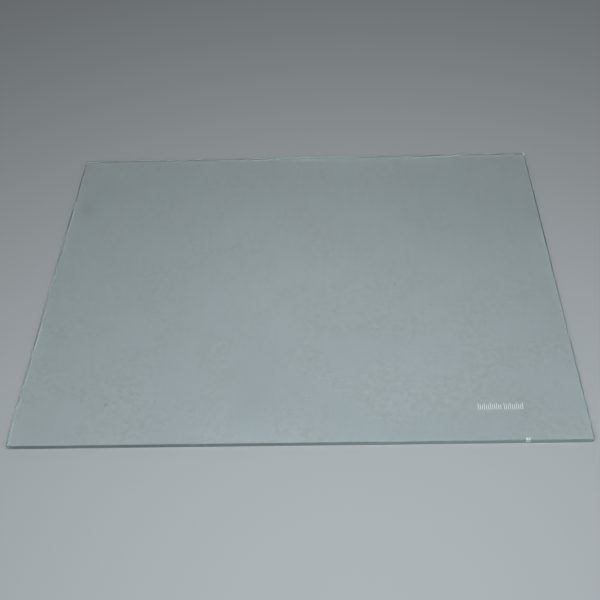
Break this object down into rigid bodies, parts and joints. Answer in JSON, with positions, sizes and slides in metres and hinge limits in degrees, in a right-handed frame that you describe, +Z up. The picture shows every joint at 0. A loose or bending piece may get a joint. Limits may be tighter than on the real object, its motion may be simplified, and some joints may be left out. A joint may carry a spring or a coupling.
{
  "type": "fridge glass shelf",
  "caption": "Flat rectangular pane of clear toughened glass with dubbed corners and ground, arrised edges, chipped at the front. It rests on ledges in a fridge and carries food.",
  "frame": {"origin": "middle of the pane's underside", "axes": "+X along the width, to the right as seen from the front; -Y towards the front edge; +Z up, square to the faces"},
  "size_m": [0.44, 0.32, 0.005],
  "materials": {
    "clear_glass": "polished",
    "white_enamel": "satin"
  },
  "bodies": {
    "root": {"glass_pane": "clear_glass"}
  },
  "joints": []
}
